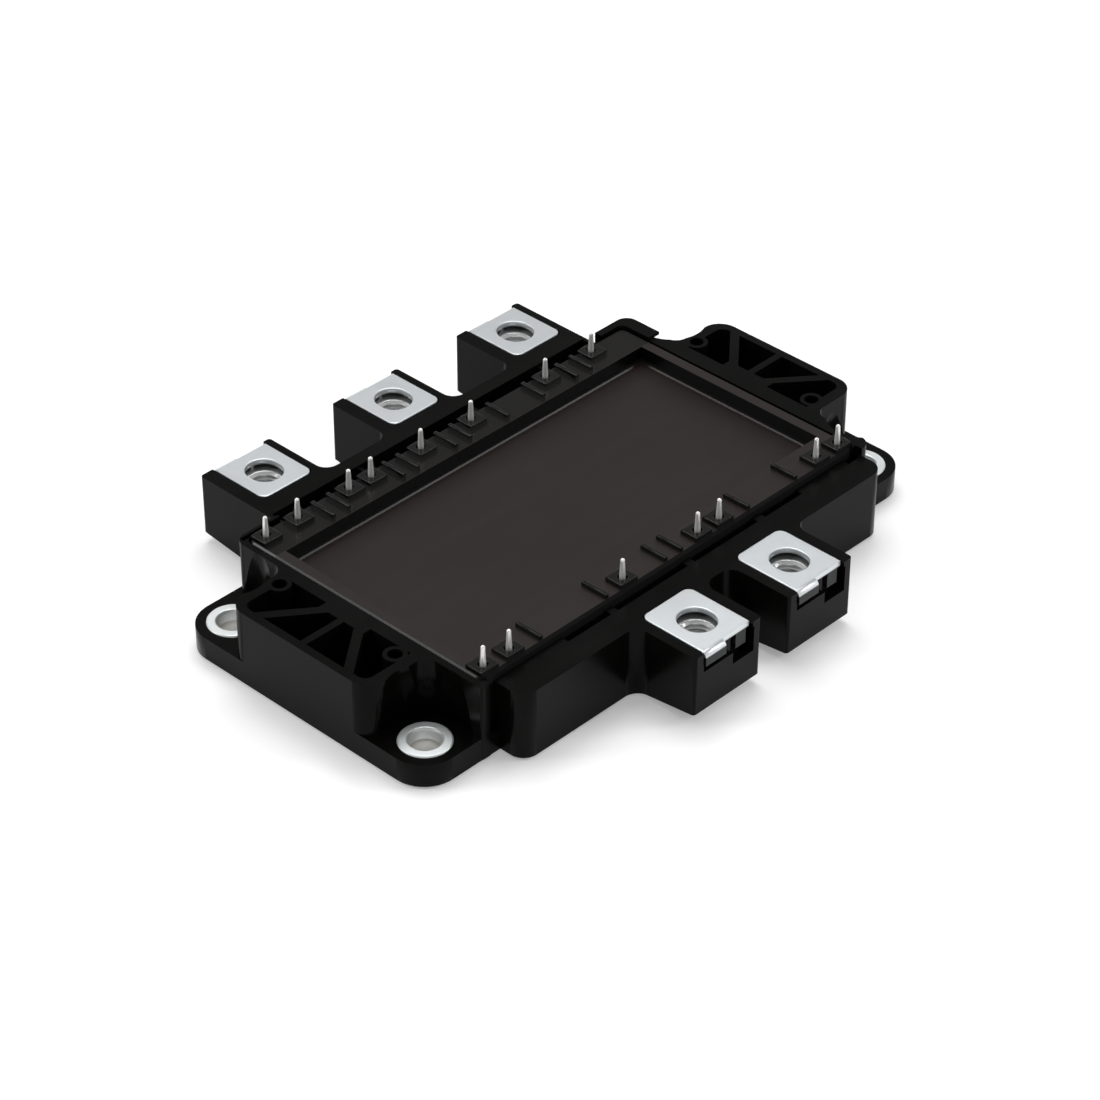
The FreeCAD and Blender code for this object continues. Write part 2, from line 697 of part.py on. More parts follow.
def terminal(name, side):
    """Bent bar: screw plate with its end tab and lug, leg and inner foot."""
    body = new_body(name)
    sign = SIDES[side]
    block_end = s.block_end_far if side == "far" else s.block_end_near
    start = s.plate_start_far if side == "far" else s.plate_start_near
    hole = s.plate_hole_far if side == "far" else s.plate_hole_near
    half = s.plate_width / 2
    thick = s.plate_thickness
    outer = block_end + s.tab_proud
    edge = outer - thick
    top = s.shelf_top
    hole_x = s.plate_hole_width / 2
    hole_y = s.plate_hole_length / 2
    hole_loop = rectangle(-hole_x, hole_x, sign * hole - hole_y, sign * hole + hole_y,
                          hole_x * NEARLY_ROUND)
    plate = outline([(-half, sign * edge, 0), (-half, sign * start, s.plate_corner_radius),
                     (half, sign * start, s.plate_corner_radius), (half, sign * edge, 0)])
    pad(body, "plate", "Sizes.shelf_top - Sizes.plate_thickness", "Sizes.plate_thickness", [plate, hole_loop])
    root = edge - s.plate_root
    tab = outline([(sign * root, top, 0), (sign * outer, top, s.bend_radius),
                   (sign * outer, top - s.tab_length, 0), (sign * edge, top - s.tab_length, 0),
                   (sign * edge, top - thick, 0), (sign * root, top - thick, 0)])
    pad(body, "tab", "-Sizes.plate_width / 2", "Sizes.tab_width", [tab], "YZ_Plane")
    lug_top = top - thick + s.plate_root
    lug = outline([(sign * (edge - thick), lug_top, 0), (sign * edge, lug_top, 0),
                   (sign * edge, top - s.lug_length, 0), (sign * (edge - thick), top - s.lug_length, 0)])
    pad(body, "lug", "Sizes.lug_offset - Sizes.lug_width / 2", "Sizes.lug_width", [lug], "YZ_Plane")
    foot_top = s.ledge_top
    foot_end = LEDGE_Y + s.foot_inset
    leg = outline([(sign * start, top - thick / 2, 0), (sign * (start + thick), top - thick / 2, 0),
                   (sign * (start + thick), foot_top - thick, thick),
                   (sign * foot_end, foot_top - thick, 0), (sign * foot_end, foot_top, 0),
                   (sign * start, foot_top, 0)])
    pad(body, "leg", "-Sizes.leg_width / 2", "Sizes.leg_width", [leg], "YZ_Plane")
    place(body, f"Sizes.{name}")
    return body


def nut(name, side):
    """Captive hexagon nut in its well under the plate."""
    body = new_body(name.replace("terminal", "nut"))
    pad(body, "hexagon", "0", "Sizes.nut_height",
        [polygon(0, 0, s.nut_across_flats), circle(0, 0, s.nut_bore)])
    hole = f"Sizes.plate_hole_{side}"
    place(body, f"Sizes.{name}", hole if side == "far" else f"-{hole}",
          "Sizes.shelf_top - Sizes.plate_thickness - Sizes.nut_drop - Sizes.nut_height")
    return body


def pin(label, x, side):
    """Many-sided contact pin with a bevelled tip, standing on its flat foot on the ledge."""
    body = new_body(label)
    radius = s.pin_diameter / 2
    low, high = sorted((0, -SIDES[side] * s.pin_foot_length))
    pad(body, "foot", "Sizes.ledge_top", "Sizes.pin_foot_thickness", [rectangle(-radius, radius, low, high)])
    post = pad(body, "post", "Sizes.ledge_top", "Sizes.pin_top - Sizes.ledge_top",
               [polygon(0, 0, s.pin_diameter, PIN_SIDES)])
    slope_edges(body, "tip", post, s.pin_top, "Sizes.pin_tip_chamfer")
    body.Placement.Base.x = x
    body.setExpression("Placement.Base.y", f"{SIDES[side]} * ({CAVITY_SIDE} - Sizes.pin_inset)")
    return body


# Gel layer

def gel():
    """Soft fill above the ribbons, resting on the ledge, with an opening round each pin and its foot."""
    body = new_body("gel_layer")
    gap = s.gel_gap
    radius = s.pin_diameter / 2
    loops = [rectangle(-CAVITY_X, CAVITY_X, -CAVITY_Y, CAVITY_Y)]
    for side, row in PINS.items():
        for x in [pin_place(*spot) for spot in row]:
            ends = (SIDES[side] * (PIN_ROW - s.pin_foot_length - gap), SIDES[side] * (PIN_ROW + radius + gap))
            loops.append(rectangle(x - radius - gap, x + radius + gap, min(ends), max(ends)))
    pad(body, "layer", "Sizes.ledge_top", "Sizes.gel_top - Sizes.ledge_top", loops)
    return body


# Power substrates

def box(label, x, y, z, length, width, height):
    """Plain block centred on x and y, with sizes and level bound to the sheet."""
    block = doc.addObject("Part::Box", label)
    block.Label = label
    block.setExpression("Length", length)
    block.setExpression("Width", width)
    block.setExpression("Height", height)
    place(block, f"{x} - ({length}) / 2", f"{y} - ({width}) / 2", z)
    return block


CERAMIC_BASE = "Sizes.baseplate_thickness"
TRACK_BASE = CERAMIC_BASE + " + Sizes.ceramic_thickness"
CHIP_BASE = TRACK_BASE + " + Sizes.track_thickness"
CERAMIC_LENGTH = f"((2 * ({HALF_CAVITY} - Sizes.substrate_margin_end) - 2 * Sizes.substrate_gap) / 3)"
CERAMIC_WIDTH = f"(2 * ({LEDGE_SIDE} - Sizes.substrate_margin_side))"


def tracks(label, x):
    """Copper tracks of one substrate: one field under each pair of chips and a return strip."""
    length = f"{CERAMIC_LENGTH} - 2 * Sizes.track_margin"
    field = f"({CERAMIC_WIDTH} - 2 * Sizes.track_margin - Sizes.track_gap) / 2"
    shift = f"(({field}) + Sizes.track_gap) / 2"
    far = box(label + "_far", x, shift, TRACK_BASE, length, field, "Sizes.track_thickness")
    near = box(label + "_near", x, f"-{shift}", TRACK_BASE, length, field, "Sizes.track_thickness")
    both = doc.addObject("Part::MultiFuse", label)
    both.Shapes = [far, near]
    both.Label = label
    return both


def strip(points, width, across):
    """Flat ribbon that follows points in an upright plane, with a named width across it."""
    upper = [point + Vector(0, 0, s.ribbon_thickness) for point in reversed(points)]
    face = Part.Face(Part.makePolygon(points + upper + [points[0]]))
    face.translate(across * (-width / 2))
    return face.extrude(across * width)


def arch(start, end, across):
    """Ribbon with two flat feet and a trapezoid arch between them."""
    run = Vector(end.x - start.x, end.y - start.y, 0)
    along = Vector(run).normalize()
    foot = along * s.ribbon_foot
    rise = Vector(0, 0, s.ribbon_rise)
    slope = run * s.ribbon_slope
    points = [start - foot, start, start + slope + rise, end - slope + rise, end, end + foot]
    return strip(points, s.ribbon_width, across)


def ribbons(label, x):
    """Ribbons of one substrate from switch chip to diode chip, two beside each other."""
    top = s.baseplate_thickness + s.ceramic_thickness + s.track_thickness + s.chip_thickness
    shapes = []
    start = x - s.igbt_offset + s.ribbon_start
    end = x + s.diode_offset + s.ribbon_end
    for row in (-s.chip_row, s.chip_row):
        for shift in (-1, 1):
            y = row + shift * s.ribbon_pitch / 2
            shapes.append(arch(Vector(start, y, top), Vector(end, y, top), Vector(0, 1, 0)))
    feature = doc.addObject("Part::Feature", label)
    feature.Label = label
    feature.Shape = Part.makeCompound(shapes)
    return feature


def substrate_set(place_name, x):
    """One half bridge: ceramic, tracks, two switch chips, two diode chips and their ribbons."""
    centre = f"{x} * ({CERAMIC_LENGTH} + Sizes.substrate_gap)"
    nodes = [box(f"substrate_{place_name}", centre, "0", CERAMIC_BASE, CERAMIC_LENGTH, CERAMIC_WIDTH,
                 "Sizes.ceramic_thickness")]
    nodes.append(tracks(f"tracks_{place_name}", centre))
    for side, row in (("far", "Sizes.chip_row"), ("near", "-Sizes.chip_row")):
        nodes.append(box(f"igbt_chip_{place_name}_{side}", f"({centre} - Sizes.igbt_offset)", row,
                         CHIP_BASE, "Sizes.igbt_side", "Sizes.igbt_side", "Sizes.chip_thickness"))
        nodes.append(box(f"diode_chip_{place_name}_{side}", f"({centre} + Sizes.diode_offset)", row,
                         CHIP_BASE, "Sizes.diode_side", "Sizes.diode_side", "Sizes.chip_thickness"))
    nodes.append(ribbons(f"bond_ribbons_{place_name}", x * SUBSTRATE_PITCH))
    return nodes


def build():
    """Every sub-part of the module."""
    terminals = [terminal(name, side) for side, names in TERMINALS.items() for name in names]
    nodes = [housing(terminals), lid(), baseplate(), gel()] + terminals
    for x_sign, x_name in ((-1, "left"), (1, "right")):
        for y_sign, y_name in ((-1, "near"), (1, "far")):
            nodes.append(bushing(f"bushing_{y_name}_{x_name}", x_sign, y_sign))
    nodes += [nut(name, side) for side, names in TERMINALS.items() for name in names]
    for side, row in PINS.items():
        for number, spot in enumerate(row, start=1):
            nodes.append(pin(f"pin_{side}_{number}", pin_place(*spot), side))
    for place_name, x in (("left", -1), ("middle", 0), ("right", 1)):
        nodes += substrate_set(place_name, x)
    doc.recompute()
    return nodes


def check(nodes):
    """Stop if any object failed or any sub-part has no valid shape."""
    for item in doc.Objects:
        if {"Invalid", "Error"} & set(item.State):
            raise RuntimeError(f"{item.Name} failed: {item.State}")
    for node in nodes:
        if node.Shape.isNull() or not node.Shape.isValid():
            raise RuntimeError(f"{node.Label} has no valid shape")


def export(nodes):
    """One STEP file for each sub-part, named after it."""
    os.makedirs("parts", exist_ok=True)
    for node in nodes:
        node.Shape.exportStep(f"parts/{node.Label}.step")


NODES = build()
check(NODES)
export(NODES)
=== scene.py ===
import json
import math

import bmesh
import bpy
from mathutils import Matrix, Vector


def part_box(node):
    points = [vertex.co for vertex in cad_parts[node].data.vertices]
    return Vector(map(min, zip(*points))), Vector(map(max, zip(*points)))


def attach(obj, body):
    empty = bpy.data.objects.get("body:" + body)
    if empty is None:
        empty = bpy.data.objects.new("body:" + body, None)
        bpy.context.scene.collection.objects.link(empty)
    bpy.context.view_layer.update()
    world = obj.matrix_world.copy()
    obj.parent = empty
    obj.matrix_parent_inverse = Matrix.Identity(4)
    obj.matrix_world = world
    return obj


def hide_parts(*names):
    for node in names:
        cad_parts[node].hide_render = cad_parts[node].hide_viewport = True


# An IGBT power module: black moulded case, dark grey lid, plated terminals, pins and mounting rings.
# Lengths are in metres, X along the module, +Y the side with three terminals, +Z up.

MM = 0.001

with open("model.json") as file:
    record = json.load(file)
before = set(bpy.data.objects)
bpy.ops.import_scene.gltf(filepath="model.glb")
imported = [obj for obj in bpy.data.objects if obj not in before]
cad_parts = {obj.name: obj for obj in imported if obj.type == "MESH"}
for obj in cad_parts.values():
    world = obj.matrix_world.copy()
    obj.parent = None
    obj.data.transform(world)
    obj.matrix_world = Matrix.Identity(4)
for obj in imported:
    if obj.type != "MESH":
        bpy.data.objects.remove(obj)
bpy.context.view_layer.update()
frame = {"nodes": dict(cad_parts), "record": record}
nodes = frame["nodes"]


# Camera at the photograph's place

CAMERA_PLACE = Vector((-0.3733, -0.3559, 0.3758))
CAMERA_RIGHT = Vector((0.692445, -0.721468, 0.001835))
CAMERA_UP = Vector((0.421735, 0.406830, 0.810326))
CAMERA_LENS = 118.67
SENSOR_WIDTH = 36.0


def place_camera():
    data = bpy.data.cameras.new("camera")
    data.lens = CAMERA_LENS
    data.sensor_width = SENSOR_WIDTH
    data.clip_start = 0.01
    data.clip_end = 20.0
    camera = bpy.data.objects.new("camera", data)
    bpy.context.collection.objects.link(camera)
    back = CAMERA_RIGHT.cross(CAMERA_UP)
    turn = Matrix((CAMERA_RIGHT, CAMERA_UP, back)).transposed().to_4x4()
    camera.matrix_world = Matrix.Translation(CAMERA_PLACE) @ turn
    bpy.context.scene.camera = camera


# Floor, world and lamps

FLOOR_GLOW = 0.27
FLOOR_COLOUR = (0.80, 0.80, 0.80, 1.0)
FLOOR_HALF = 3.0
FLOOR_DROP = 0.0001


def arithmetic(tree, operation):
    node = tree.nodes.new("ShaderNodeMath")
    node.operation = operation
    return node


def colour_mix(tree):
    node = tree.nodes.new("ShaderNodeMix")
    node.data_type = "RGBA"
    return node


def seen_rays(tree):
    """One for rays from the camera, from gloss and through clear pieces, none for the others."""
    path = tree.nodes.new("ShaderNodeLightPath")
    camera_or_gloss = arithmetic(tree, "MAXIMUM")
    with_transmission = arithmetic(tree, "MAXIMUM")
    tree.links.new(path.outputs["Is Camera Ray"], camera_or_gloss.inputs[0])
    tree.links.new(path.outputs["Is Glossy Ray"], camera_or_gloss.inputs[1])
    tree.links.new(camera_or_gloss.outputs[0], with_transmission.inputs[0])
    tree.links.new(path.outputs["Is Transmission Ray"], with_transmission.inputs[1])
    return with_transmission.outputs[0]


def floor_material():
    material = bpy.data.materials.new("floor_paper")
    material.use_nodes = True
    tree = material.node_tree
    tree.nodes.clear()
    output = tree.nodes.new("ShaderNodeOutputMaterial")
    matt = tree.nodes.new("ShaderNodeBsdfDiffuse")
    matt.inputs["Color"].default_value = FLOOR_COLOUR
    glow = tree.nodes.new("ShaderNodeEmission")
    both = tree.nodes.new("ShaderNodeAddShader")
    strength = arithmetic(tree, "MULTIPLY")
    strength.inputs[1].default_value = FLOOR_GLOW
    tree.links.new(seen_rays(tree), strength.inputs[0])
    tree.links.new(strength.outputs[0], glow.inputs["Strength"])
    tree.links.new(matt.outputs["BSDF"], both.inputs[0])
    tree.links.new(glow.outputs[0], both.inputs[1])
    tree.links.new(both.outputs[0], output.inputs["Surface"])
    return material


def lay_floor():
    shape = bmesh.new()
    bmesh.ops.create_grid(shape, x_segments=1, y_segments=1, size=FLOOR_HALF)
    mesh = bpy.data.meshes.new("floor")
    shape.to_mesh(mesh)
    shape.free()
    mesh.materials.append(floor_material())
    floor = bpy.data.objects.new("floor", mesh)
    floor.location = (0.0, 0.0, -FLOOR_DROP)
    bpy.context.collection.objects.link(floor)


WHITE = (1.0, 1.0, 1.0, 1.0)
ZENITH_LIGHT = 0.29
ZENITH_FADE = (0.12, 0.55)
FILL_LIGHT = 0.44

# Name, place, sides and power
LAMPS = (
    ("overhead_panel", (0.25, 0.30, 1.05), (0.7, 0.7), 7.0),
    ("left_panel", (-0.78, 0.74, 0.72), (0.42, 0.40), 3.8),
    ("near_panel", (0.78, -0.76, 0.72), (0.38, 0.36), 3.3),
)


def set_world():
    """White near the horizon and dimmer overhead in reflections, and an even fill for everything else."""
    world = bpy.data.worlds.new("studio")
    bpy.context.scene.world = world
    world.use_nodes = True
    tree = world.node_tree
    tree.nodes.clear()
    output = tree.nodes.new("ShaderNodeOutputWorld")
    seen = tree.nodes.new("ShaderNodeBackground")
    seen.inputs["Color"].default_value = WHITE
    direction = tree.nodes.new("ShaderNodeTexCoord")
    split = tree.nodes.new("ShaderNodeSeparateXYZ")
    height = tree.nodes.new("ShaderNodeMapRange")
    height.interpolation_type = "SMOOTHSTEP"
    height.inputs["From Min"].default_value = ZENITH_FADE[0]
    height.inputs["From Max"].default_value = ZENITH_FADE[1]
    height.inputs["To Min"].default_value = 1.0
    height.inputs["To Max"].default_value = ZENITH_LIGHT
    tree.links.new(direction.outputs["Generated"], split.inputs["Vector"])
    tree.links.new(split.outputs["Z"], height.inputs["Value"])
    tree.links.new(height.outputs["Result"], seen.inputs["Strength"])
    fill = tree.nodes.new("ShaderNodeBackground")
    fill.inputs["Color"].default_value = WHITE
    fill.inputs["Strength"].default_value = FILL_LIGHT
    blend = tree.nodes.new("ShaderNodeMixShader")
    tree.links.new(seen_rays(tree), blend.inputs["Fac"])
    tree.links.new(fill.outputs[0], blend.inputs[1])
    tree.links.new(seen.outputs[0], blend.inputs[2])
    tree.links.new(blend.outputs[0], output.inputs["Surface"])


def hang_lamp(name, place, size, power):
    data = bpy.data.lights.new(name, "AREA")
    data.shape = "RECTANGLE"
    data.size = size[0]
    data.size_y = size[1]
    data.energy = power
    lamp = bpy.data.objects.new(name, data)
    lamp.location = place
    lamp.rotation_euler = (-Vector(place)).to_track_quat("-Z", "Y").to_euler()
    bpy.context.collection.objects.link(lamp)


def light_studio():
    set_world()
    for lamp in LAMPS:
        hang_lamp(*lamp)


# Shader node groups

DECK_BAND = 0.03 * MM
MATT_ROUGHNESS = 0.6
LOW_FADE = 0.2 * MM
PLASTIC_BUMP_DEPTH = 0.00002
METAL_BUMP_DEPTH = 0.00001


def group_socket(tree, name, kind, way, value=None):
    socket = tree.interface.new_socket(name=name, in_out=way, socket_type=kind)
    if value is not None:
        socket.default_value = value
    return socket


def moulded_grain_group():
    """Grain, slow sheen changes and faint flow streaks of moulded plastic, with regions by height and row,
    and painted shade on walls between two levels.
    """
    tree = bpy.data.node_groups.new("moulded_grain", "ShaderNodeTree")
    group_socket(tree, "Colour", "NodeSocketColor", "INPUT", (0.01, 0.01, 0.01, 1.0))
    group_socket(tree, "Streak Colour", "NodeSocketColor", "INPUT", (0.02, 0.02, 0.02, 1.0))
    group_socket(tree, "Grain Scale", "NodeSocketFloat", "INPUT", 9000.0)
    group_socket(tree, "Roughness", "NodeSocketFloat", "INPUT", 0.3)
    group_socket(tree, "Roughness Spread", "NodeSocketFloat", "INPUT", 0.1)
    group_socket(tree, "Second Colour", "NodeSocketColor", "INPUT", (0.01, 0.01, 0.01, 1.0))
    group_socket(tree, "Second Roughness", "NodeSocketFloat", "INPUT", 0.3)
    group_socket(tree, "Level", "NodeSocketFloat", "INPUT", 1.0)
    group_socket(tree, "Row", "NodeSocketFloat", "INPUT", 1.0)
    group_socket(tree, "Wall Shade Colour", "NodeSocketColor", "INPUT", (0.01, 0.01, 0.01, 1.0))
    group_socket(tree, "Wall Foot", "NodeSocketFloat", "INPUT", 1.0)
    group_socket(tree, "Wall Top", "NodeSocketFloat", "INPUT", 0.0)
    group_socket(tree, "Deck", "NodeSocketFloat", "INPUT", 1.0)
    group_socket(tree, "Matt Below", "NodeSocketFloat", "INPUT", 0.0)
    group_socket(tree, "Rim", "NodeSocketFloat", "INPUT", -1.0)
    group_socket(tree, "Colour", "NodeSocketColor", "OUTPUT")
    group_socket(tree, "Roughness", "NodeSocketFloat", "OUTPUT")
    group_socket(tree, "Height", "NodeSocketFloat", "OUTPUT")
    enter = tree.nodes.new("NodeGroupInput")
    leave = tree.nodes.new("NodeGroupOutput")
    place = tree.nodes.new("ShaderNodeTexCoord")
    axes = tree.nodes.new("ShaderNodeSeparateXYZ")
    above = arithmetic(tree, "GREATER_THAN")
    in_row = arithmetic(tree, "GREATER_THAN")
    glossy = arithmetic(tree, "MAXIMUM")
    over_foot = arithmetic(tree, "GREATER_THAN")
    under_top = arithmetic(tree, "LESS_THAN")
    between = arithmetic(tree, "MULTIPLY")
    on_deck = arithmetic(tree, "COMPARE")
    on_deck.inputs[2].default_value = DECK_BAND
    off_deck = arithmetic(tree, "SUBTRACT")
    off_deck.inputs[0].default_value = 1.0
    on_wall = arithmetic(tree, "MULTIPLY")
    low_band = arithmetic(tree, "LESS_THAN")
    matt_band = arithmetic(tree, "MULTIPLY")
    matt = arithmetic(tree, "MAXIMUM")
    wall = colour_mix(tree)
    on_rim = arithmetic(tree, "LESS_THAN")
    roughness = tree.nodes.new("ShaderNodeMix")
    with_rim = arithmetic(tree, "MULTIPLY_ADD")
    with_rim.inputs[1].default_value = MATT_ROUGHNESS
    second = colour_mix(tree)
    grain = tree.nodes.new("ShaderNodeTexNoise")
    grain.inputs["Detail"].default_value = 3.0
    cloud = tree.nodes.new("ShaderNodeTexNoise")
    cloud.inputs["Scale"].default_value = 55.0
    cloud.inputs["Detail"].default_value = 4.0
    stretch = tree.nodes.new("ShaderNodeMapping")
    stretch.inputs["Scale"].default_value = (30.0, 260.0, 90.0)
    streak = tree.nodes.new("ShaderNodeTexNoise")
    streak.inputs["Scale"].default_value = 1.0
    streak.inputs["Detail"].default_value = 2.0
    spread = tree.nodes.new("ShaderNodeMapRange")
    spread.inputs["From Min"].default_value = 0.35
    spread.inputs["From Max"].default_value = 0.65
    signed = arithmetic(tree, "SUBTRACT")
    signed.inputs[1].default_value = 0.5
    scaled = arithmetic(tree, "MULTIPLY")
    total = arithmetic(tree, "ADD")
    streak_mask = tree.nodes.new("ShaderNodeMapRange")
    streak_mask.inputs["From Min"].default_value = 0.45
    streak_mask.inputs["From Max"].default_value = 0.8
    tint = colour_mix(tree)
    link = tree.links.new
    link(place.outputs["Object"], grain.inputs["Vector"])
    link(place.outputs["Object"], cloud.inputs["Vector"])
    link(place.outputs["Object"], stretch.inputs["Vector"])
    link(stretch.outputs["Vector"], streak.inputs["Vector"])
    link(enter.outputs["Grain Scale"], grain.inputs["Scale"])
    link(cloud.outputs["Fac"], spread.inputs["Value"])
    link(spread.outputs["Result"], signed.inputs[0])
    link(signed.outputs[0], scaled.inputs[0])
    link(enter.outputs["Roughness Spread"], scaled.inputs[1])
    link(scaled.outputs[0], total.inputs[0])
    link(enter.outputs["Roughness"], total.inputs[1])
    link(total.outputs[0], roughness.inputs["A"])
    link(enter.outputs["Second Roughness"], roughness.inputs["B"])
    link(glossy.outputs[0], roughness.inputs["Factor"])
    link(matt.outputs[0], with_rim.inputs[0])
    link(roughness.outputs["Result"], with_rim.inputs[2])
    link(with_rim.outputs[0], leave.inputs["Roughness"])
    link(streak.outputs["Fac"], streak_mask.inputs["Value"])
    link(streak_mask.outputs["Result"], tint.inputs["Factor"])
    link(enter.outputs["Colour"], tint.inputs["A"])
    link(enter.outputs["Streak Colour"], tint.inputs["B"])
    link(place.outputs["Object"], axes.inputs["Vector"])
    link(axes.outputs["Z"], above.inputs[0])
    link(enter.outputs["Level"], above.inputs[1])
    link(axes.outputs["Y"], in_row.inputs[0])
    link(enter.outputs["Row"], in_row.inputs[1])
    link(axes.outputs["Y"], on_rim.inputs[0])
    link(enter.outputs["Rim"], on_rim.inputs[1])
    link(above.outputs[0], glossy.inputs[0])
    link(in_row.outputs[0], glossy.inputs[1])
    link(axes.outputs["Z"], over_foot.inputs[0])
    link(enter.outputs["Wall Foot"], over_foot.inputs[1])
    link(axes.outputs["Z"], under_top.inputs[0])
    link(enter.outputs["Wall Top"], under_top.inputs[1])
    link(over_foot.outputs[0], between.inputs[0])
    link(under_top.outputs[0], between.inputs[1])
    link(axes.outputs["Z"], on_deck.inputs[0])
    link(enter.outputs["Deck"], on_deck.inputs[1])
    link(on_deck.outputs[0], off_deck.inputs[1])
    link(between.outputs[0], on_wall.inputs[0])
    link(off_deck.outputs[0], on_wall.inputs[1])
    link(axes.outputs["Z"], low_band.inputs[0])
    link(enter.outputs["Matt Below"], low_band.inputs[1])
    link(low_band.outputs[0], matt_band.inputs[0])
    link(on_wall.outputs[0], matt_band.inputs[1])
    link(on_rim.outputs[0], matt.inputs[0])
    link(matt_band.outputs[0], matt.inputs[1])
    link(glossy.outputs[0], second.inputs["Factor"])
    link(tint.outputs["Result"], second.inputs["A"])
    link(enter.outputs["Second Colour"], second.inputs["B"])
    # Painted shade: the wall colour replaces the plastic's colour on walls between Wall Foot and Wall Top,
    # off the deck
    link(on_wall.outputs[0], wall.inputs["Factor"])
    link(second.outputs["Result"], wall.inputs["A"])
    link(enter.outputs["Wall Shade Colour"], wall.inputs["B"])
    link(wall.outputs["Result"], leave.inputs["Colour"])
    link(grain.outputs["Fac"], leave.inputs["Height"])
    return tree


def plated_metal_group():
    """Plated sheet: fine rolling lines, a soft change of tone and painted shade in another colour below a
    level.
    """
    tree = bpy.data.node_groups.new("plated_metal", "ShaderNodeTree")
    group_socket(tree, "Colour", "NodeSocketColor", "INPUT", (0.8, 0.8, 0.8, 1.0))
    group_socket(tree, "Dull Colour", "NodeSocketColor", "INPUT", (0.6, 0.6, 0.6, 1.0))
    group_socket(tree, "Roughness", "NodeSocketFloat", "INPUT", 0.3)
    group_socket(tree, "Roughness Spread", "NodeSocketFloat", "INPUT", 0.15)
    group_socket(tree, "Line Stretch", "NodeSocketVector", "INPUT", (120.0, 5000.0, 5000.0))
    group_socket(tree, "Low Shade Colour", "NodeSocketColor", "INPUT", (0.1, 0.1, 0.1, 1.0))
    group_socket(tree, "Low Level", "NodeSocketFloat", "INPUT", -1.0)
    group_socket(tree, "Colour", "NodeSocketColor", "OUTPUT")
    group_socket(tree, "Roughness", "NodeSocketFloat", "OUTPUT")
    group_socket(tree, "Height", "NodeSocketFloat", "OUTPUT")
    enter = tree.nodes.new("NodeGroupInput")
    leave = tree.nodes.new("NodeGroupOutput")
    place = tree.nodes.new("ShaderNodeTexCoord")
    stretch = tree.nodes.new("ShaderNodeVectorMath")
    stretch.operation = "MULTIPLY"
    lines = tree.nodes.new("ShaderNodeTexNoise")
    lines.inputs["Scale"].default_value = 1.0
    lines.inputs["Detail"].default_value = 4.0
    cloud = tree.nodes.new("ShaderNodeTexNoise")
    cloud.inputs["Scale"].default_value = 160.0
    cloud.inputs["Detail"].default_value = 5.0
    both = arithmetic(tree, "MULTIPLY_ADD")
    both.inputs[1].default_value = 0.5
    signed = arithmetic(tree, "SUBTRACT")
    signed.inputs[1].default_value = 0.75
    scaled = arithmetic(tree, "MULTIPLY")
    total = arithmetic(tree, "ADD")
    axes = tree.nodes.new("ShaderNodeSeparateXYZ")
    below = arithmetic(tree, "SUBTRACT")
    fade = tree.nodes.new("ShaderNodeMapRange")
    fade.interpolation_type = "SMOOTHSTEP"
    fade.inputs["From Min"].default_value = -LOW_FADE
    fade.inputs["From Max"].default_value = LOW_FADE
    low = colour_mix(tree)
    dull = tree.nodes.new("ShaderNodeMapRange")
    dull.inputs["From Min"].default_value = 0.45
    dull.inputs["From Max"].default_value = 0.75
    tint = colour_mix(tree)
    link = tree.links.new
    link(place.outputs["Object"], stretch.inputs[0])
    link(enter.outputs["Line Stretch"], stretch.inputs[1])
    link(stretch.outputs["Vector"], lines.inputs["Vector"])
    link(place.outputs["Object"], cloud.inputs["Vector"])
    link(lines.outputs["Fac"], both.inputs[0])
    link(cloud.outputs["Fac"], both.inputs[2])
    link(both.outputs[0], signed.inputs[0])
    link(signed.outputs[0], scaled.inputs[0])
    link(enter.outputs["Roughness Spread"], scaled.inputs[1])
    link(scaled.outputs[0], total.inputs[0])
    link(enter.outputs["Roughness"], total.inputs[1])
    link(total.outputs[0], leave.inputs["Roughness"])
    link(cloud.outputs["Fac"], dull.inputs["Value"])
    link(dull.outputs["Result"], tint.inputs["Factor"])
    link(enter.outputs["Colour"], tint.inputs["A"])
    link(enter.outputs["Dull Colour"], tint.inputs["B"])
    # Painted shade: below the low level the colour fades to the low colour
    link(place.outputs["Object"], axes.inputs["Vector"])
    link(enter.outputs["Low Level"], below.inputs[0])
    link(axes.outputs["Z"], below.inputs[1])
    link(below.outputs[0], fade.inputs["Value"])
    link(fade.outputs["Result"], low.inputs["Factor"])
    link(tint.outputs["Result"], low.inputs["A"])
    link(enter.outputs["Low Shade Colour"], low.inputs["B"])
    link(low.outputs["Result"], leave.inputs["Colour"])
    link(lines.outputs["Fac"], leave.inputs["Height"])
    return tree


MOULDED_GRAIN = moulded_grain_group()
PLATED_METAL = plated_metal_group()


def grouped_material(name, group, values, bump_strength, bump_distance, shader_values):
    """Material whose colour, roughness and bump come from a shared group with its own values."""
    material = bpy.data.materials.new(name)
    material.use_nodes = True
    tree = material.node_tree
    shader = tree.nodes["Principled BSDF"]
    effect = tree.nodes.new("ShaderNodeGroup")
    effect.node_tree = group
    for socket, value in values.items():
        effect.inputs[socket].default_value = value
    bump = tree.nodes.new("ShaderNodeBump")
    bump.inputs["Strength"].default_value = bump_strength
    bump.inputs["Distance"].default_value = bump_distance
    tree.links.new(effect.outputs["Colour"], shader.inputs["Base Color"])
    tree.links.new(effect.outputs["Roughness"], shader.inputs["Roughness"])
    tree.links.new(effect.outputs["Height"], bump.inputs["Height"])
    tree.links.new(bump.outputs["Normal"], shader.inputs["Normal"])
    for socket, value in shader_values.items():
        shader.inputs[socket].default_value = value
    return material


